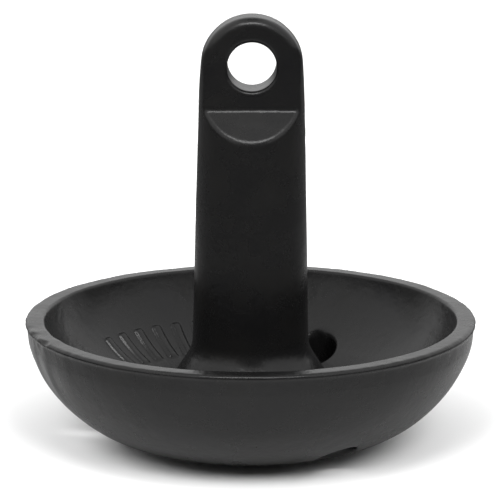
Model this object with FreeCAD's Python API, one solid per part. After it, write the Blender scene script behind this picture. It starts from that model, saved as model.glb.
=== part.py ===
import FreeCAD, Part
import math
import os

from FreeCAD import Vector

# Mushroom anchor: one iron casting in a continuous dipped vinyl skin.
# Millimetres. The origin is the centre of the base flat, +Z runs up the shank, and the eye's axis is Y.

# Skin
SKIN = 1.3               # thickness of the vinyl all over the casting

# Bowl, outside
BASE_R = 19.2            # flat that the anchor stands on
SOLE_BEND = 123.1        # radius of curvature of the sole, beyond the flat
SOLE_END = 16.0          # slope in degrees where the sole turns into the flank
FLANK_BEND = 58.2        # radius of curvature of the flank
FLANK_END = 68.5         # slope in degrees where the flank turns into the wall
WALL_BEND = 31.7         # radius of curvature under the straight wall
WALL_END = 80.0          # slope in degrees where the wall runs straight up to the bead

# Rim
RIM_Z = 53.9             # height of the rim
RIM_R = 94.3             # outer radius of the bead round the rim
RIM_WIDTH = 7.8          # bead's outside to the bowl's inside
BEAD_H = 2.4             # height of the bead
BEAD_STEP = 0.8          # how far the bead stands out from the wall
BEAD_ROUND = 1.5         # rounding of the rim's outer edge
LIP_ROUND = 1.5          # rounding of the rim's inner edge

# Bowl, inside
FLOOR_Z = 7.7            # height of the hollow's lowest point, projected to the axis
FLOOR_BEND = 127.0       # radius of curvature of the hollow's floor
FLOOR_END = 30.0         # slope in degrees where the floor turns into the side

# Shank and its skirt
SHANK_LOW_R = 24.8       # shank radius where it leaves the skirt
SHANK_LOW_Z = 41.4
SHANK_TOP_R = 21.9       # shank radius just under the eye
SHANK_TOP_Z = 145.3
SKIRT_ANGLE = 32.0       # skirt's slope in degrees from the axis
SKIRT_ROUND = 8.7        # hollow rounding between shank and skirt
FOOT_ROUND = 6.7         # hollow rounding between skirt and floor

# Eye lug
LUG_T = 19.2             # thickness across the flats
LUG_R = 21.2             # radius of the lug's round top
LUG_TOP_Z = 181.4
LUG_FLARE = 5.0          # degrees that the lug's sides open downwards
LEDGE_Z = 143.1          # height of the ledge where it meets the flat
LEDGE_SLOPE = 41.0       # degrees that the ledge falls outwards
LEDGE_ROUND = 2.5        # hollow rounding where the flat meets the ledge
LUG_EDGE = 2.3           # rounding round the lug's two faces and the ledges' outer edges
EYE_R = 10.1
EYE_Z = 161.2
EYE_ROUND = 1.7          # rounding of the eye's two lips
LUG_BLEND = 9.6          # rounding where the shank's cone runs into the lug's round top

# Drain holes, straight down through the bowl
DRAIN_R = 8.3
DRAIN_PITCH_R = 63.5
DRAIN_ANGLES = (63.0, 183.0, 303.0)

# Plain raised bars in the hollow, midway between two drain holes
BAR_COUNT = 7
BAR_MIDDLE = 124.0       # angle of the middle bar
BAR_STEP = 7.5           # degrees from bar to bar
BAR_INNER_R = 59.6
BAR_OUTER_R = 74.1
BAR_W = 3.7
BAR_H = 1.1              # height above the hollow
BAR_LEAN = 35.0          # slope of the hollow under the bars, in degrees
BAR_ROOT_Z = 19.2        # level inside the bowl's wall where the bars begin


def arc_steps(start, bend, slopes):
    """Middle and end of an arc that leaves start outwards and bends from one slope to the next."""
    a, b = (math.radians(s) for s in slopes)

    def at(t):
        r = start[0] + bend * (math.sin(t) - math.sin(a))
        z = start[1] + bend * (math.cos(a) - math.cos(t))
        return (r, z)

    return at((a + b) / 2), at(b)


def vec(p):
    return Vector(p[0], 0, p[1])


def line(a, b):
    return Part.makeLine(vec(a), vec(b))


def arc(a, m, b):
    return Part.Arc(vec(a), vec(m), vec(b)).toShape()


def outside_edges():
    """Base flat, sole, flank, wall and bead, from the axis out to the rim's outer corner."""
    flat = (BASE_R, 0.0)
    sole_m, sole = arc_steps(flat, SOLE_BEND, (0.0, SOLE_END))
    flank_m, flank = arc_steps(sole, FLANK_BEND, (SOLE_END, FLANK_END))
    wall_m, wall = arc_steps(flank, WALL_BEND, (FLANK_END, WALL_END))
    crease = (RIM_R - BEAD_STEP, RIM_Z - BEAD_H)
    bead = (RIM_R, RIM_Z - BEAD_H + BEAD_STEP)
    return [
        line((0.0, 0.0), flat),
        arc(flat, sole_m, sole),
        arc(sole, flank_m, flank),
        arc(flank, wall_m, wall),
        line(wall, crease),
        line(crease, bead),
        line(bead, (RIM_R, RIM_Z)),
    ]


def floor_arc_z(r):
    """Height of the hollow's floor at a radius."""
    return FLOOR_Z + FLOOR_BEND - math.sqrt(FLOOR_BEND ** 2 - r ** 2)


def foot_point():
    """Where the skirt's cone meets the hollow's floor."""
    r = SHANK_LOW_R
    step = 0.01
    while SHANK_LOW_Z - (r - SHANK_LOW_R) / math.tan(math.radians(SKIRT_ANGLE)) > floor_arc_z(r):
        r += step
    return (r, floor_arc_z(r))


def side_turn():
    """Where the hollow's floor turns into its side."""
    return arc_steps((0.0, FLOOR_Z), FLOOR_BEND, (0.0, FLOOR_END))[1]


def side_middle(turn, inner):
    """A point half way round the arc that leaves the floor smoothly and ends at the rim."""
    slope = math.radians(FLOOR_END)
    dr = inner[0] - turn[0]
    dz = inner[1] - turn[1]
    bend = (dr ** 2 + dz ** 2) / (2 * (dz * math.cos(slope) - dr * math.sin(slope)))
    centre = (turn[0] - bend * math.sin(slope), turn[1] + bend * math.cos(slope))
    a = math.atan2(turn[1] - centre[1], turn[0] - centre[0])
    b = math.atan2(inner[1] - centre[1], inner[0] - centre[0])
    m = (a + b) / 2
    return (centre[0] + bend * math.cos(m), centre[1] + bend * math.sin(m))


def inside_edges():
    """Top of the rim, the hollow, the skirt and the shank, from the rim's outer corner to the axis."""
    inner = (RIM_R - RIM_WIDTH, RIM_Z)
    turn = side_turn()
    foot = foot_point()
    mid_r = (turn[0] + foot[0]) / 2
    low = (SHANK_LOW_R, SHANK_LOW_Z)
    taper = (SHANK_LOW_R - SHANK_TOP_R) / (SHANK_TOP_Z - SHANK_LOW_Z)
    top_z = LUG_TOP_Z + 5.0
    top = (SHANK_LOW_R - taper * (top_z - SHANK_LOW_Z), top_z)
    return [
        line((RIM_R, RIM_Z), inner),
        arc(inner, side_middle(turn, inner), turn),
        arc(turn, (mid_r, floor_arc_z(mid_r)), foot),
        line(foot, low),
        line(low, top),
        line(top, (0.0, top_z)),
    ]


def shrunk(edges, skin):
    """Face inside a closed outline, drawn in by the skin."""
    face = Part.Face(Part.Wire(edges))
    if skin:
        face = face.makeOffset2D(-skin, join=2)
    return face


def mirrored(edges):
    return [e.mirror(Vector(0, 0, 0), Vector(1, 0, 0)) for e in edges]


def redrawn(edge):
    """The same line or arc made anew, so that its ends are exact."""
    a = edge.valueAt(edge.FirstParameter)
    b = edge.valueAt(edge.LastParameter)
    if isinstance(edge.Curve, Part.Line):
        return Part.makeLine(a, b)
    m = edge.valueAt((edge.FirstParameter + edge.LastParameter) / 2)
    return Part.Arc(a, m, b).toShape()


def turned_body(skin):
    """Bowl, skirt and shank as one turned solid; the shank runs on past the lug's top."""
    half = outside_edges() + inside_edges()
    section = shrunk(Part.__sortEdges__(half + mirrored(half)), skin)
    keep = Part.makeBox(200, 20, 400, Vector(0, -10, -50))
    outline = section.common(keep).Faces[0].OuterWire.OrderedEdges
    half_section = Part.Face(Part.Wire([redrawn(e) for e in outline]))
    return half_section.revolve(Vector(0, 0, 0), Vector(0, 0, 1), 360)


def ring_edges(solid, r, z, reach):
    """Full circles about the axis that lie near one radius and height."""
    found = []
    for e in solid.Edges:
        if not isinstance(e.Curve, Part.Circle):
            continue
        c = e.Curve
        on_axis = math.hypot(c.Center.x, c.Center.y) < 0.01 and abs(c.Axis.z) > 0.99
        if on_axis and math.hypot(c.Radius - r, c.Center.z - z) < reach:
            found.append(e)
    return found


def rounded_rings(solid, skin):
    """Turned solid with the rim, the skirt and the foot rounded."""
    d = skin
    foot = foot_point()
    jobs = [
        (RIM_R - d, RIM_Z - d, BEAD_ROUND - d),
        (RIM_R - RIM_WIDTH + d, RIM_Z - d, LIP_ROUND - d),
        (SHANK_LOW_R - d, SHANK_LOW_Z, SKIRT_ROUND + d),
        (foot[0] - d, foot[1] - d, FOOT_ROUND + d),
    ]
    for r, z, rounding in jobs:
        solid = solid.makeFillet(rounding, ring_edges(solid, r, z, 1.5))
    return solid


def side_outline():
    """Lug seen along X: two flats, the sloping ledges, and room for everything below."""
    half_t = LUG_T / 2
    out = 45.0
    fall = math.tan(math.radians(LEDGE_SLOPE)) * (out - half_t)
    right = [
        (half_t, LUG_TOP_Z + 20.0),
        (half_t, LEDGE_Z),
        (out, LEDGE_Z - fall),
        (150.0, LEDGE_Z - fall),
        (150.0, -30.0),
    ]
    left = [(-y, z) for y, z in reversed(right)]
    return right + left


def front_outline():
    """Lug seen along Y: a round top on sides that open slightly downwards, then room below."""
    flare = math.radians(LUG_FLARE)
    centre_z = LUG_TOP_Z - LUG_R
    x0 = LUG_R * math.cos(flare)
    z0 = centre_z + LUG_R * math.sin(flare)
    drop = 45.0
    x1 = x0 + drop * math.tan(flare)
    side = [(x0, z0), (x1, z0 - drop), (150.0, z0 - drop), (150.0, -30.0)]
    points = side + [(-x, z) for x, z in reversed(side)]
    edges = [line(a, b) for a, b in zip(points, points[1:])]
    return edges + [arc((-x0, z0), (0.0, LUG_TOP_Z), (x0, z0))]


def side_mask(skin):
    """Everything inside the side outline, with the flats' hollow corners rounded."""
    points = [Vector(0, y, z) for y, z in side_outline()]
    face = Part.Face(Part.makePolygon(points + points[:1]))
    if skin:
        face = face.makeOffset2D(-skin, join=2)
    solid = face.extrude(Vector(300, 0, 0))
    solid.translate(Vector(-150, 0, 0))
    corners = []
    for e in solid.Edges:
        b = e.BoundBox
        if b.XLength > 200 and abs(b.ZMin - LEDGE_Z) < 2 and abs(b.YMin) < LUG_T:
            corners.append(e)
    return solid.makeFillet(LEDGE_ROUND + skin, corners)


def front_mask(skin):
    """Everything inside the front outline."""
    face = shrunk(Part.__sortEdges__(front_outline()), skin)
    solid = face.extrude(Vector(0, 300, 0))
    solid.translate(Vector(0, -150, 0))
    return solid


def lug_edges(solid, skin):
    """Edges round the lug's two flats and the ledges below them."""
    half_t = LUG_T / 2 - skin
    found = []
    for e in solid.Edges:
        b = e.BoundBox
        if b.ZMin < SHANK_TOP_Z - 20 or isinstance(e.Curve, Part.Line):
            continue
        on_face = abs(abs(b.YMin) - half_t) < 0.02 and b.YLength < 0.02
        on_ledge = isinstance(e.Curve, Part.Ellipse) and e.Length > 40
        if on_face or on_ledge:
            found.append(e)
    return found


def blend_edges(solid):
    """The four short edges where the shank's cone meets the lug's round top."""
    found = []
    for e in solid.Edges:
        high = e.BoundBox.ZMin > LUG_TOP_Z - LUG_R - 5
        if high and isinstance(e.Curve, Part.BSplineCurve) and 6 < e.Length < 13:
            found.append(e)
    return found


def lugged_body(skin):
    """The turned body cut to the lug, with the lug's edges rounded."""
    body = rounded_rings(turned_body(skin), skin).Solids[0]
    body = body.common(side_mask(skin)).common(front_mask(skin)).Solids[0]
    body = body.makeFillet(LUG_BLEND - skin, blend_edges(body)).Solids[0]
    return body.makeFillet(LUG_EDGE - skin / 2, lug_edges(body, skin)).Solids[0]


def hollow_filling(lift):
    """Solid of the bowl's footprint, up to the hollow's surface lifted by a height."""
    inner = (RIM_R - RIM_WIDTH, RIM_Z)
    turn = side_turn()
    low = (0.0, -10.0)
    edges = [
        arc(inner, side_middle(turn, inner), turn),
        arc(turn, (BAR_INNER_R / 2, floor_arc_z(BAR_INNER_R / 2)), (0.0, FLOOR_Z)),
        line((0.0, FLOOR_Z), low),
        line(low, (inner[0], low[1])),
        line((inner[0], low[1]), inner),
    ]
    solid = Part.Face(Part.Wire(edges)).revolve(Vector(0, 0, 0), Vector(0, 0, 1), 360)
    solid.translate(Vector(0, 0, lift))
    return solid


def raised_bars(skin):
    """Short radial bars that stand up from the hollow, all alike."""
    filling = hollow_filling((BAR_H - skin) / math.cos(math.radians(BAR_LEAN)))
    length = BAR_OUTER_R - BAR_INNER_R - 2 * skin
    width = BAR_W - 2 * skin
    bars = []
    for i in range(BAR_COUNT):
        corner = Vector(BAR_INNER_R + skin, -width / 2, BAR_ROOT_Z)
        bar = Part.makeBox(length, width, 40, corner)
        angle = BAR_MIDDLE + (i - (BAR_COUNT - 1) / 2) * BAR_STEP
        bar.rotate(Vector(0, 0, 0), Vector(0, 0, 1), angle)
        bars.append(bar.common(filling))
    return bars


def drain_axis(angle):
    a = math.radians(angle)
    return DRAIN_PITCH_R * math.cos(a), DRAIN_PITCH_R * math.sin(a)


def eye_lips(solid, skin):
    found = []
    for e in solid.Edges:
        c = e.Curve
        if isinstance(c, Part.Circle) and abs(c.Axis.y) > 0.99:
            if abs(c.Radius - EYE_R - skin) < 0.01:
                found.append(e)
    return found


def anchor(skin):
    """The whole anchor with every surface drawn in by the skin."""
    body = lugged_body(skin)
    eye = Part.makeCylinder(EYE_R + skin, 80, Vector(0, -40, EYE_Z), Vector(0, 1, 0))
    body = body.cut(eye).Solids[0]
    for angle in DRAIN_ANGLES:
        x, y = drain_axis(angle)
        body = body.cut(Part.makeCylinder(DRAIN_R + skin, 120, Vector(x, y, -20))).Solids[0]
    if not skin:
        body = body.makeFillet(EYE_ROUND, eye_lips(body, skin)).Solids[0]
    return body.fuse(raised_bars(skin)).Solids[0]


def main():
    os.makedirs("parts", exist_ok=True)
    outer = anchor(0.0)
    iron = anchor(SKIN)
    skin = outer.cut(iron).Solids[0]
    print("box", outer.optimalBoundingBox(False))
    iron.exportStep("parts/cast_iron_body.step")
    skin.exportStep("parts/vinyl_coating.step")
    for name, solid in (("cast_iron_body", iron), ("vinyl_coating", skin)):
        print(name, solid.isValid(), round(solid.Volume), len(solid.Faces))


main()
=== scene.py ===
import math

import bpy
import numpy as np
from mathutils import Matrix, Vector


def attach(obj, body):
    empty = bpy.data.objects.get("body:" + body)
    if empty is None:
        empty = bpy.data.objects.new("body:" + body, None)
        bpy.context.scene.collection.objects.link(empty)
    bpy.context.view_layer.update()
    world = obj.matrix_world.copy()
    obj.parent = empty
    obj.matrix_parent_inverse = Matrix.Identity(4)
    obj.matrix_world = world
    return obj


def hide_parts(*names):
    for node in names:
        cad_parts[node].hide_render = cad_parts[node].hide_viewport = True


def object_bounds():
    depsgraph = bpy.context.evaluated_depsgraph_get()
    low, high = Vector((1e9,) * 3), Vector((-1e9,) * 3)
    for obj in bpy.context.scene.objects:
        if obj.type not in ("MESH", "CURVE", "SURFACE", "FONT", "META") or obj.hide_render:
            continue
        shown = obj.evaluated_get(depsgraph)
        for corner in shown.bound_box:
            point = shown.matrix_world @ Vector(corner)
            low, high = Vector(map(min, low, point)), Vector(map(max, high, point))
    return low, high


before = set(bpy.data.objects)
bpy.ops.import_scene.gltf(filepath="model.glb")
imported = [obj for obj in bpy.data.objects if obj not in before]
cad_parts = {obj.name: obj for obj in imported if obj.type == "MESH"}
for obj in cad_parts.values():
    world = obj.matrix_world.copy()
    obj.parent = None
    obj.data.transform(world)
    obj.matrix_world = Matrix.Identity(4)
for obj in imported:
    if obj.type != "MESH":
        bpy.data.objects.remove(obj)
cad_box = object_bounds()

# Looks for a vinyl-dipped mushroom anchor. The skin is meshed from a distance field in millimetres,
# so that every edge is rounded as a dipped coat rounds it; the mesh is then scaled to metres.

MM = 0.001

# ---------------------------------------------------------------- sizes, mm
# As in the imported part, but for the lower shank (24.8 there) and the ledges (143.1 and 41.0 there).
RIM_Z, RIM_R, RIM_WIDTH = 53.9, 94.3, 7.8
BEAD_H, BEAD_STEP = 2.4, 0.8
BASE_R = 19.2                    # flat under the sole
BENDS = ((123.1, (0.0, 16.0)), (58.2, (16.0, 68.5)), (31.7, (68.5, 80.0)))   # sole, flank and wall
FLOOR_Z, FLOOR_BEND, FLOOR_END = 7.7, 127.0, 30.0
SHANK_LOW_R, SHANK_LOW_Z = 24.4, 41.4
SHANK_TOP_R, SHANK_TOP_Z = 21.9, 145.3
SKIRT_ANGLE = 32.0
LUG_T, LUG_R, LUG_TOP_Z, LUG_FLARE = 19.2, 21.2, 181.4, 5.0
LEDGE_Z, LEDGE_SLOPE = 143.5, 43.0
EYE_R, EYE_Z = 10.1, 161.2
DRAIN_R, DRAIN_PITCH_R, DRAIN_ANGLES = 8.3, 63.5, (63.0, 183.0, 303.0)
BAR_COUNT, BAR_MIDDLE, BAR_STEP = 7, 124.0, 7.5
BAR_INNER_R, BAR_OUTER_R, BAR_W, BAR_H = 59.6, 74.1, 3.7, 1.1
LEAN = 0.6                       # how far the casting's shank stands out of true at its top

# Over how many mm edges and corners are rounded.
LIP_K, FOOT_K = 2.1, 5.5         # rim's outer edge, and where the skirt meets the bowl's floor
LUG_SIDE_K, LUG_TOP_MORE = 1.6, 3.7            # lug's edges, and how much more at its round top
LUG_SOFT_Z, LUG_SOFT_RUN = 154.0, 16.0         # height where that starts, and how long it takes
ARCH_K, LEDGE_K, EYE_K, DRAIN_K = 0.8, 1.2, 2.4, 2.0
BAR_CORNER_K, BAR_K = 1.2, 1.3

# Marks of use and of the dipping.
NOTCH_TURN, NOTCH_R = 206.8, 2.1               # degrees round the rim, and size
DINTS = ((147.0, 0.4, 0.3, 1.5), (67.0, -0.2, 0.4, 1.2))   # in the rim: turn, out, up and size
CHIP_AT, CHIP_R = (-17.4, -8.9, 172.3), 1.3    # dent in the coat at the lug's edge
BURR_AT, BURR_R = (22.2, -1.0, 132.5), 0.9     # on the shank's edge
RUNS_TURN, RUNS_Z, RUNS_H = 203.0, 38.0, 0.34  # runs of thick coat down the wall
ROUGH_TURN, ROUGH_H = 200.0, 0.32              # bumpy stretch of the rim's edge

# Mesh of the skin.
GRID_LOW, GRID_HIGH = (-97.0, -97.0, -3.0), (97.0, 97.0, 184.5)
GRID_STEP = 0.7
SECTION_STEP = 0.3
COARSE = 5                       # fine steps in a step of the coarse grid
MOST_TRIANGLES = 190000


def smax(a, b, k):
    """Larger of two distances, with the corner between them rounded over about k."""
    h = np.maximum(k - np.abs(a - b), 0.0) / k
    return np.maximum(a, b) + h * h * k * 0.25


def smin(a, b, k):
    return -smax(-a, -b, k)


def arc_points(start, bend, slopes, count):
    """Points of an arc that leaves start outwards and bends up from one slope to the next."""
    a, b = (math.radians(s) for s in slopes)
    t = np.linspace(a, b, count)
    r = start[0] + bend * (np.sin(t) - math.sin(a))
    z = start[1] + bend * (math.cos(a) - np.cos(t))
    return list(zip(r, z))


def outside_shape():
    """Outline of the bowl's outside, run on above the rim and past the axis."""
    points = [(-60.0, 0.0), (BASE_R, 0.0)]
    for bend, slopes in BENDS:
        points += arc_points(points[-1], bend, slopes, 36)[1:]
    points += [(RIM_R - BEAD_STEP, RIM_Z - BEAD_H), (RIM_R, RIM_Z - BEAD_H + BEAD_STEP)]
    return points + [(RIM_R, 90.0), (-60.0, 90.0)]


def hollow_shape():
    """Outline of the bowl's hollow, run on above the rim and past the axis."""
    points = [(-60.0, FLOOR_Z)] + arc_points((0.0, FLOOR_Z), FLOOR_BEND, (0.0, FLOOR_END), 40)
    turn = points[-1]
    inner = (RIM_R - RIM_WIDTH, RIM_Z)
    slope = math.radians(FLOOR_END)
    dr, dz = inner[0] - turn[0], inner[1] - turn[1]
    bend = (dr ** 2 + dz ** 2) / (2 * (dz * math.cos(slope) - dr * math.sin(slope)))
    end = math.degrees(math.asin(math.sin(slope) + dr / bend))
    points += arc_points(turn, bend, (FLOOR_END, end), 50)[1:]
    run = math.radians(end)
    last = (inner[0] + 36.0 * math.cos(run), inner[1] + 36.0 * math.sin(run))
    return points + [last, (-60.0, last[1])]


def shank_shape():
    """Outline of the shank, run on below into the bowl and above the lug."""
    taper = (SHANK_LOW_R - SHANK_TOP_R) / (SHANK_TOP_Z - SHANK_LOW_Z)
    low, run = 5.0, 60.0
    high = SHANK_TOP_Z + run
    return [(-60.0, low), (SHANK_LOW_R + taper * (SHANK_LOW_Z - low), low),
            (SHANK_TOP_R - taper * run, high), (-60.0, high)]


def skirt_shape():
    """Outline of the cone that flares the shank's foot."""
    spread = math.tan(math.radians(SKIRT_ANGLE))
    low = 12.0
    reach = SHANK_LOW_R + (SHANK_LOW_Z - low) * spread
    tip = SHANK_LOW_Z + SHANK_LOW_R / spread
    return [(-30.0, low), (reach, low), (0.0, tip), (-30.0, tip)]


def polygon_distance(points, r, z):
    """Signed distance from grid points to a closed outline, negative inside."""
    best = np.full(r.shape, 1e9)
    inside = np.zeros(r.shape, bool)
    for (ax, az), (bx, bz) in zip(points, points[1:] + points[:1]):
        ex, ez = bx - ax, bz - az
        wx, wz = r - ax, z - az
        t = np.clip((wx * ex + wz * ez) / max(ex * ex + ez * ez, 1e-12), 0.0, 1.0)
        best = np.minimum(best, (wx - ex * t) ** 2 + (wz - ez * t) ** 2)
        if az != bz:
            cross = (az > z) != (bz > z)
            inside ^= cross & (r < ax + (z - az) * ex / ez)
    return np.where(inside, -1.0, 1.0) * np.sqrt(best)


class Section:
    """Distances over one half of a turned shape's section, looked up by radius and height."""

    def __init__(self, r0, r1, z0, z1, step):
        self.r0, self.z0, self.step = r0, z0, step
        self.shape = (int((r1 - r0) / step) + 1, int((z1 - z0) / step) + 1)
        self.r, self.z = np.meshgrid(r0 + step * np.arange(self.shape[0]),
                                     z0 + step * np.arange(self.shape[1]), indexing="ij")
        self.d = None

    def soften(self, passes):
        for _ in range(passes):
            for axis in (0, 1):
                ahead = np.roll(self.d, 1, axis)
                behind = np.roll(self.d, -1, axis)
                soft = 0.25 * ahead + 0.5 * self.d + 0.25 * behind
                self.d[2:-2, 2:-2] = soft[2:-2, 2:-2]

    def at(self, r, z):
        u = np.clip((r - self.r0) / self.step, 0, self.shape[0] - 1.001)
        v = np.clip((z - self.z0) / self.step, 0, self.shape[1] - 1.001)
        i, j = u.astype(int), v.astype(int)
        u, v = u - i, v - j
        d = self.d
        low = d[i, j] * (1 - v) + d[i, j + 1] * v
        high = d[i + 1, j] * (1 - v) + d[i + 1, j + 1] * v
        return low * (1 - u) + high * u


def make_sections(step):
    body = Section(-1.5, 104.0, -5.0, 192.0, step)
    hollow = Section(-1.5, 104.0, -5.0, 192.0, step)
    hollow.d = polygon_distance(hollow_shape(), hollow.r, hollow.z)
    bowl = polygon_distance(outside_shape(), body.r, body.z)
    bowl = smax(bowl, body.z - RIM_Z, LIP_K)
    bowl = smax(bowl, -hollow.d, 0.9)
    shank = polygon_distance(shank_shape(), body.r, body.z)
    skirt = polygon_distance(skirt_shape(), body.r, body.z)
    stem = smin(shank, skirt, 2.0)
    body.d = smin(bowl, stem, FOOT_K)
    body.soften(1)
    return body, hollow


BODY, HOLLOW = make_sections(SECTION_STEP)


# ---------------------------------------------------------------- uneven coat
CELLS = 32
lattice = np.random.default_rng(11).random((CELLS, CELLS, CELLS))


def noise(p, size):
    """Smooth noise from -1 to 1, with lumps about size mm across."""
    q = p / size + 100.0
    i = np.floor(q).astype(int)
    f = q - i
    f = f * f * (3 - 2 * f)
    total = 0.0
    for dx in (0, 1):
        for dy in (0, 1):
            for dz in (0, 1):
                w = (f[:, 0] if dx else 1 - f[:, 0]) * (f[:, 1] if dy else 1 - f[:, 1])
                w = w * (f[:, 2] if dz else 1 - f[:, 2])
                a, b, c = ((i + (dx, dy, dz)) % CELLS).T
                total = total + w * lattice[a, b, c]
    return total * 2 - 1


def turn_from(az, middle):
    """Degrees from one direction about the axis."""
    return (az - middle + 180.0) % 360.0 - 180.0


def bump(distance, width):
    """1 at no distance, and falling smoothly to 0 beyond about the width."""
    return np.exp(-(distance / width) ** 2)


def unevenness(p, r, az):
    """How far the coat stands out from the plain shape, mm."""
    z = p[:, 2]
    out = 0.10 * noise(p, 17.0) + 0.05 * noise(p, 6.5)
    # runs of thick coat under the rim
    wall = bump(z - RUNS_Z, 13.0) * (r > 70)
    away = turn_from(az, RUNS_TURN)
    ripples = np.sin(np.radians(away) * 34.0 + 1.1 * noise(p * np.array([1, 1, 0.3]), 9.0))
    out = out + RUNS_H * ripples * bump(away, 11.0) * wall
    # bumpy rim edge
    edge = bump(r - RIM_R, 3.0) * bump(z - RIM_Z + 2.0, 4.0)
    out = out + ROUGH_H * noise(p, 3.6) * edge * bump(turn_from(az, ROUGH_TURN), 9.0)
    out = out + 0.10 * noise(p + 50.0, 4.5) * edge
    return out


def cut_lug(d, x, y, z):
    """Flattens the shank's top to a round-ended lug between two sloping ledges."""
    top = z - (LUG_TOP_Z - LUG_R)
    flare = math.radians(LUG_FLARE)
    round_top = np.hypot(x, top) - LUG_R
    side = np.abs(x) * math.cos(flare) + top * math.sin(flare) - LUG_R
    arch = np.where(np.abs(x) * math.sin(flare) - top * math.cos(flare) >= 0, side, round_top)
    d = smax(d, np.where(z < 100.0, -50.0, arch), ARCH_K)
    slab = np.abs(y) - LUG_T / 2
    slope = math.radians(LEDGE_SLOPE)
    ledge = (z - LEDGE_Z + slab * math.tan(slope)) * math.cos(slope)
    rounding = LUG_SIDE_K + LUG_TOP_MORE * np.clip((z - LUG_SOFT_Z) / LUG_SOFT_RUN, 0.0, 1.0)
    return smax(d, smin(slab, ledge, LEDGE_K), rounding)


def cut_holes(d, x, y, z):
    """The eye for the line and the drains."""
    d = smax(d, EYE_R - np.hypot(x, z - EYE_Z), EYE_K)
    for angle in DRAIN_ANGLES:
        a = math.radians(angle)
        hole = np.hypot(x - DRAIN_PITCH_R * math.cos(a), y - DRAIN_PITCH_R * math.sin(a))
        d = smax(d, DRAIN_R - hole, DRAIN_K)
    return d


def add_bars(d, x, y, z, r):
    """The short row of raised bars on the inside of the bowl."""
    above = -HOLLOW.at(r, z)
    for i in range(BAR_COUNT):
        a = math.radians(BAR_MIDDLE + (i - (BAR_COUNT - 1) / 2) * BAR_STEP)
        u = np.abs(x * math.cos(a) + y * math.sin(a) - (BAR_INNER_R + BAR_OUTER_R) / 2)
        v = np.abs(-x * math.sin(a) + y * math.cos(a))
        u = u - (BAR_OUTER_R - BAR_INNER_R) / 2
        v = np.where(x * math.cos(a) + y * math.sin(a) > 0, v - BAR_W / 2, 50.0)
        bar = smax(smax(u, v, BAR_CORNER_K), above - BAR_H, BAR_K)
        bar = np.where((z < RIM_Z) & (above > -4.0), bar, 50.0)
        d = smin(d, bar, BAR_K)
    return d


def rim_point(angle, out, up):
    a = math.radians(angle)
    return np.array([(RIM_R + out) * math.cos(a), (RIM_R + out) * math.sin(a), RIM_Z + up])


def from_point(p, point, stretch=(1.0, 1.0, 1.0)):
    """Distance from a point, with each axis measured in its own unit."""
    return np.linalg.norm((p - point) / stretch, axis=1)


def add_knocks(d, p):
    d = smax(d, NOTCH_R - from_point(p, rim_point(NOTCH_TURN, 0.5, 0.6), (1.3, 1.6, 0.9)), 0.7)
    d = smax(d, CHIP_R - from_point(p, CHIP_AT), 0.3)
    for angle, out, up, size in DINTS:
        d = smax(d, size - from_point(p, rim_point(angle, out, up)), 0.8)
    burr = from_point(p, BURR_AT, (0.5, 1.0, 2.6)) - BURR_R
    return smin(d, burr * 0.5, 0.5)


def distance(p):
    """Signed distance to the anchor's skin, mm, negative inside."""
    x, y, z = p.T
    r = np.hypot(x, y)
    az = np.degrees(np.arctan2(y, x))
    x = x - LEAN * np.clip((z - RIM_Z) / 110.0, 0.0, 1.0)
    d = BODY.at(np.hypot(x, y), z)
    d = cut_lug(d, x, y, z)
    d = cut_holes(d, x, y, z)
    d = add_bars(d, x, y, z, r)
    d = add_knocks(d, p)
    return d - unevenness(p, r, az)


def gradient(p, h=0.3):
    g = np.empty_like(p)
    for k in range(3):
        e = np.zeros(3)
        e[k] = h
        g[:, k] = (distance(p + e) - distance(p - e)) / (2 * h)
    return g


def settle(p, rounds):
    """Moves points onto the skin."""
    for _ in range(rounds):
        g = gradient(p)
        p = p - g * (distance(p) / np.maximum((g * g).sum(1), 0.2))[:, None]
    return p


# ---------------------------------------------------------------- skin mesh
def select_only(obj):
    for o in bpy.context.selected_objects:
        o.select_set(False)
    obj.select_set(True)
    bpy.context.view_layer.objects.active = obj


def distance_grid(step):
    """Distances on a fine grid. Far from the skin only the sign counts, and a coarse grid serves."""
    lo = np.array(GRID_LOW)
    hi = np.array(GRID_HIGH)
    n = ((hi - lo) / step).astype(int) + 1
    fine = [lo[k] + step * np.arange(n[k]) for k in range(3)]
    wide = COARSE * step
    coarse = [lo[k] + wide * np.arange(math.ceil(n[k] / COARSE) + 1) for k in range(3)]
    blocks = distance(np.stack([g.ravel() for g in np.meshgrid(*coarse, indexing="ij")], 1))
    blocks = blocks.reshape([len(c) for c in coarse])
    nearest = [np.rint(np.arange(n[k]) / COARSE).astype(int) for k in range(3)]
    d = blocks[np.ix_(*nearest)].astype(np.float32)
    i, j, k = np.nonzero(np.abs(d) < 1.6 * wide)
    d[i, j, k] = distance(np.stack([fine[0][i], fine[1][j], fine[2][k]], 1))
    return lo, step, d


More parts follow.
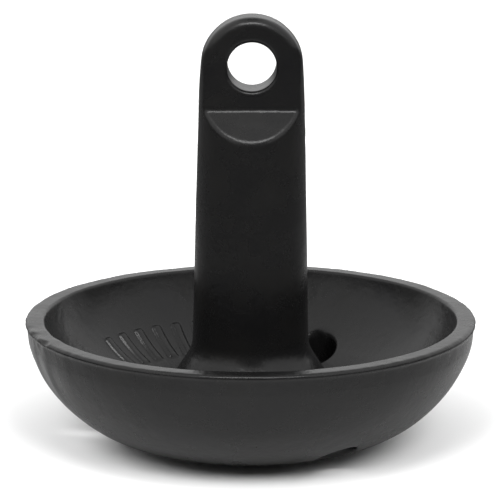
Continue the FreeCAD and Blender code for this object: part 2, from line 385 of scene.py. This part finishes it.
def surface_nets(lo, step, d):
    """Quads round the zero level of a grid of distances, with a vertex in each cell it crosses."""
    s = d < 0
    nx, ny, nz = d.shape
    cells = np.zeros((nx - 1, ny - 1, nz - 1), np.int8)
    for dx in (0, 1):
        for dy in (0, 1):
            for dz in (0, 1):
                cells += s[dx:nx - 1 + dx, dy:ny - 1 + dy, dz:nz - 1 + dz]
    active = (cells > 0) & (cells < 8)
    ids = np.full(active.shape, -1, np.int64)
    where = np.argwhere(active)
    ids[active] = np.arange(len(where))
    total = np.zeros((len(where), 3))
    count = np.zeros(len(where))
    i, j, k = where.T
    corners = [(0, 0, 0), (1, 0, 0), (0, 1, 0), (0, 0, 1),
               (1, 1, 0), (1, 0, 1), (0, 1, 1), (1, 1, 1)]
    for a in corners:
        for axis in range(3):
            if a[axis]:
                continue
            b = list(a)
            b[axis] = 1
            da = d[i + a[0], j + a[1], k + a[2]]
            db = d[i + b[0], j + b[1], k + b[2]]
            cross = (da < 0) != (db < 0)
            t = np.where(cross, da / np.where(cross, da - db, 1.0), 0.0)
            point = np.array(a, float)[None, :].repeat(len(where), 0)
            point[:, axis] = t
            total += point * cross[:, None]
            count += cross
    verts = lo + step * (where + total / count[:, None])
    quads = []
    for axis in range(3):
        o1, o2 = [q for q in range(3) if q != axis]
        front = np.swapaxes(s, 0, axis)
        cross = np.argwhere(front[:-1] != front[1:])
        cross[:, [0, axis]] = cross[:, [axis, 0]]
        ok = (cross[:, o1] > 0) & (cross[:, o2] > 0)
        ok &= (cross[:, o1] < d.shape[o1] - 1) & (cross[:, o2] < d.shape[o2] - 1)
        cross = cross[ok]
        c = [cross.copy() for _ in range(4)]
        c[0][:, o1] -= 1
        c[0][:, o2] -= 1
        c[1][:, o2] -= 1
        c[3][:, o1] -= 1
        q = np.stack([ids[m[:, 0], m[:, 1], m[:, 2]] for m in c], 1)
        inside = s[cross[:, 0], cross[:, 1], cross[:, 2]]
        flip = inside ^ (axis == 1)
        q[~flip] = q[~flip][:, ::-1]
        quads.append(q)
    return verts, np.concatenate(quads)


def skin_object():
    verts, quads = surface_nets(*distance_grid(GRID_STEP))
    verts = settle(verts, 3)
    mesh = bpy.data.meshes.new("vinyl_skin")
    faces = [tuple(int(i) for i in q) for q in quads]
    mesh.from_pydata([tuple(v) for v in verts * MM], [], faces)
    mesh.update()
    obj = bpy.data.objects.new("vinyl_skin", mesh)
    bpy.context.scene.collection.objects.link(obj)
    select_only(obj)
    thin = obj.modifiers.new("thin", "DECIMATE")
    thin.ratio = min(1.0, MOST_TRIANGLES / (2 * len(quads)))
    bpy.ops.object.modifier_apply(modifier="thin")
    mesh = obj.data
    co = np.empty(len(mesh.vertices) * 3, np.float32)
    mesh.vertices.foreach_get("co", co)
    p = settle(co.reshape(-1, 3).astype(float) / MM, 1)
    low, high = (np.array(corner) / MM for corner in cad_box)
    p = np.clip(p, low, high)
    mesh.vertices.foreach_set("co", (p * MM).astype(np.float32).ravel())
    mesh.update()
    mesh.polygons.foreach_set("use_smooth", [True] * len(mesh.polygons))
    g = gradient(p, 0.25)
    g /= np.linalg.norm(g, axis=1)[:, None]
    mesh.normals_split_custom_set_from_vertices([tuple(n) for n in g])
    return obj


# ---------------------------------------------------------------- materials
class Nodes:
    """Short names for adding and joining shader nodes."""

    def __init__(self, tree):
        self.tree = tree

    def add(self, kind, inputs=None, **props):
        node = self.tree.nodes.new(kind)
        for name, value in props.items():
            setattr(node, name, value)
        for name, value in (inputs or {}).items():
            socket = node.inputs[name]
            if hasattr(value, "is_linked"):
                self.tree.links.new(value, socket)
            else:
                socket.default_value = value
        return node

    def ramp(self, fac, stops):
        node = self.add("ShaderNodeValToRGB", {"Fac": fac})
        marks = node.color_ramp.elements
        while len(marks) < len(stops):
            marks.new(0.5)
        for mark, (at, value) in zip(marks, stops):
            mark.position = at
            mark.color = (*value, 1.0)
        return node.outputs["Color"]

    def noise(self, where, scale, detail, roughness):
        node = self.add("ShaderNodeTexNoise", {"Vector": where, "Scale": scale, "Detail": detail,
                                               "Roughness": roughness})
        return node.outputs["Fac"]


def new_material(name):
    mat = bpy.data.materials.new(name)
    mat.use_nodes = True
    tree = mat.node_tree
    tree.nodes.clear()
    nodes = Nodes(tree)
    out = nodes.add("ShaderNodeOutputMaterial")
    shader = nodes.add("ShaderNodeBsdfPrincipled")
    tree.links.new(shader.outputs["BSDF"], out.inputs["Surface"])
    return mat, nodes, shader


def black_vinyl():
    mat, n, shader = new_material("black_vinyl")
    where = n.add("ShaderNodeTexCoord").outputs["Object"]
    cloud = n.noise(where, 45.0, 5.0, 0.6)
    fine = n.noise(where, 900.0, 3.0, 0.6)
    peel = n.noise(where, 260.0, 2.0, 0.5)
    colour = n.ramp(cloud, [(0.3, (0.0035, 0.0035, 0.0038)), (0.75, (0.0055, 0.0053, 0.0050))])
    rough = n.ramp(cloud, [(0.3, (0.23,) * 3), (0.75, (0.32,) * 3)])
    n.tree.links.new(colour, shader.inputs["Base Color"])
    n.tree.links.new(rough, shader.inputs["Roughness"])
    shader.inputs["IOR"].default_value = 1.5
    small = n.add("ShaderNodeBump", {"Height": fine, "Strength": 0.12, "Distance": 0.0003})
    large = n.add("ShaderNodeBump", {"Height": peel, "Strength": 0.25, "Distance": 0.0006,
                                     "Normal": small.outputs["Normal"]})
    n.tree.links.new(large.outputs["Normal"], shader.inputs["Normal"])
    return mat


def grey_iron():
    mat, n, shader = new_material("grey_iron")
    where = n.add("ShaderNodeTexCoord").outputs["Object"]
    grain = n.noise(where, 300.0, 6.0, 0.7)
    colour = n.ramp(grain, [(0.3, (0.05, 0.047, 0.044)), (0.7, (0.11, 0.10, 0.095))])
    n.tree.links.new(colour, shader.inputs["Base Color"])
    shader.inputs["Metallic"].default_value = 0.7
    shader.inputs["Roughness"].default_value = 0.65
    lumps = n.add("ShaderNodeBump", {"Height": grain, "Strength": 0.4, "Distance": 0.0005})
    n.tree.links.new(lumps.outputs["Normal"], shader.inputs["Normal"])
    return mat


def floor_paint():
    """Pale to the camera; in mirror reflections a painted shade, darker and fading away from the
    object, slower behind it, that stands in for the studio light falling off.
    """
    mat, n, shader = new_material("pale_floor")
    where = n.add("ShaderNodeTexCoord").outputs["Object"]
    parts = n.add("ShaderNodeSeparateXYZ", {"Vector": where})
    nearer = n.add("ShaderNodeMath", {0: parts.outputs["Y"], 1: 0.75}, operation="MULTIPLY")
    ahead = n.add("ShaderNodeMath", {0: parts.outputs["Y"], 1: nearer.outputs[0]},
                  operation="MINIMUM")
    flat = n.add("ShaderNodeCombineXYZ", {"X": parts.outputs["X"], "Y": ahead.outputs[0]})
    reach = n.add("ShaderNodeVectorMath", {0: flat.outputs[0]}, operation="LENGTH")
    # painted shade: the floor as mirrored darkens with distance from the object, in place of light
    # falling off
    painted_falloff_shade = n.add("ShaderNodeMapRange", {"Value": reach.outputs["Value"],
                                        "From Min": 0.14, "From Max": 0.42,
                                        "To Min": 0.38, "To Max": 0.075},
                 interpolation_type="SMOOTHSTEP")
    mirrored = n.add("ShaderNodeLightPath").outputs["Is Glossy Ray"]
    shade = n.add("ShaderNodeMix", {"Factor": mirrored, "A": 0.9, "B": painted_falloff_shade.outputs["Result"]})
    n.tree.links.new(shade.outputs["Result"], shader.inputs["Base Color"])
    shader.inputs["Roughness"].default_value = 0.9
    shader.inputs["Specular IOR Level"].default_value = 0.1
    return mat


# ---------------------------------------------------------------- stage
CAMERA_DOWN = 13.26     # degrees below level
CAMERA_REACH = 1.3131   # metres from the anchor's axis
CAMERA_AIM = 0.08245    # height on the axis that it looks at, metres
CAMERA_ASIDE = -0.0002  # metres to the right
CAMERA_LENS = 226.7     # mm, on a sensor 36 mm wide
FLOOR_HALF = 6.0        # metres
LIGHTS_TURN = 28.0      # degrees to each side that the two fills stand


def add_camera():
    """A long lens that looks a little down on the rim."""
    cam = bpy.data.cameras.new("camera")
    cam.sensor_width = 36.0
    cam.lens = CAMERA_LENS
    cam.clip_end = 50.0
    obj = bpy.data.objects.new("camera", cam)
    down = math.radians(CAMERA_DOWN)
    height = CAMERA_AIM + CAMERA_REACH * math.sin(down)
    obj.location = (CAMERA_ASIDE, -CAMERA_REACH * math.cos(down), height)
    obj.rotation_euler = (math.radians(90.0 - CAMERA_DOWN), 0.0, 0.0)
    bpy.context.scene.collection.objects.link(obj)
    bpy.context.scene.camera = obj


def toward(azimuth, elevation):
    """Unit vector; azimuth 0 points to the camera's side and grows to the right."""
    a, e = math.radians(azimuth), math.radians(elevation)
    return Vector((math.sin(a) * math.cos(e), -math.cos(a) * math.cos(e), math.sin(e)))


def add_panel(name, azimuth, elevation, distance, size, power):
    light = bpy.data.lights.new(name, "AREA")
    light.shape = "RECTANGLE"
    light.size, light.size_y = size
    light.energy = power
    obj = bpy.data.objects.new(name, light)
    obj.location = toward(azimuth, elevation) * distance
    obj.rotation_euler = (-obj.location).to_track_quat("-Z", "Y").to_euler()
    bpy.context.scene.collection.objects.link(obj)


def add_fill(name, azimuth, elevation, spread, strength):
    """A broad distant light that is not mirrored in the skin."""
    light = bpy.data.lights.new(name, "SUN")
    light.energy = strength
    light.angle = math.radians(spread)
    obj = bpy.data.objects.new(name, light)
    obj.rotation_euler = (-toward(azimuth, elevation)).to_track_quat("-Z", "Y").to_euler()
    obj.visible_glossy = False
    bpy.context.scene.collection.objects.link(obj)


def add_floor():
    mesh = bpy.data.meshes.new("floor")
    s = FLOOR_HALF
    mesh.from_pydata([(-s, -s, 0), (s, -s, 0), (s, s, 0), (-s, s, 0)], [], [(0, 1, 2, 3)])
    obj = bpy.data.objects.new("floor", mesh)
    obj.data.materials.append(floor_paint())
    bpy.context.scene.collection.objects.link(obj)


def add_world():
    """White to the camera. Mirrored: pale behind, soft boxes at the sides, dim above, dark in front."""
    world = bpy.data.worlds.new("studio")
    bpy.context.scene.world = world
    world.use_nodes = True
    tree = world.node_tree
    tree.nodes.clear()
    n = Nodes(tree)

    def step_up(value, low, high, top):
        node = n.add("ShaderNodeMapRange", {"Value": value, "From Min": low, "From Max": high,
                                            "To Min": 0.0, "To Max": top},
                     interpolation_type="SMOOTHSTEP")
        return node.outputs["Result"]

    def join(a, b, operation):
        return n.add("ShaderNodeMath", {0: a, 1: b}, operation=operation).outputs[0]

    way = n.add("ShaderNodeTexCoord").outputs["Generated"]
    parts = n.add("ShaderNodeSeparateXYZ", {"Vector": way})
    x, y, z = (parts.outputs[k] for k in "XYZ")
    flat = n.add("ShaderNodeCombineXYZ", {"X": x, "Y": y})
    reach = n.add("ShaderNodeVectorMath", {0: flat.outputs[0]}, operation="LENGTH").outputs["Value"]
    aside = join(join(x, 0.0, "ABSOLUTE"), reach, "DIVIDE")
    boxes = join(step_up(aside, 0.25, 0.55, 0.8), step_up(z, 0.12, 0.5, 1.0), "MULTIPLY")
    low = join(1.0, step_up(z, 0.3, 0.85, 0.6), "SUBTRACT")
    back = join(step_up(y, 0.05, 0.85, 0.95), low, "MULTIPLY")
    skyline = join(step_up(z, -0.1, 0.22, 0.6), 0.4, "ADD")
    back = join(back, skyline, "MULTIPLY")
    top = step_up(z, 0.86, 0.97, 0.25)
    total = join(join(boxes, back, "MAXIMUM"), join(top, 0.1, "MAXIMUM"), "MAXIMUM")
    seen = n.add("ShaderNodeLightPath").outputs["Is Camera Ray"]
    light = n.add("ShaderNodeBackground", {"Color": total, "Strength": 1.0})
    plain = n.add("ShaderNodeBackground", {"Color": (1.0, 1.0, 1.0, 1.0), "Strength": 1.1})
    mix = n.add("ShaderNodeMixShader", {0: seen, 1: light.outputs[0], 2: plain.outputs[0]})
    out = n.add("ShaderNodeOutputWorld")
    tree.links.new(mix.outputs[0], out.inputs["Surface"])


bpy.context.scene.view_settings.view_transform = "Standard"
add_camera()
add_world()
add_floor()
add_fill("fill_left", -LIGHTS_TURN, 41.0, 28.0, 2.3)
add_fill("fill_right", LIGHTS_TURN, 41.0, 28.0, 2.3)
add_panel("strip", 0.0, 62.0, 1.2, (0.6, 0.22), 3.5)

skin = skin_object()
skin.data.materials.append(black_vinyl())
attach(skin, "root")
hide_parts("vinyl_coating")

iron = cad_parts["cast_iron_body"]
iron_paint = grey_iron()
for slot in iron.material_slots:
    slot.material = iron_paint
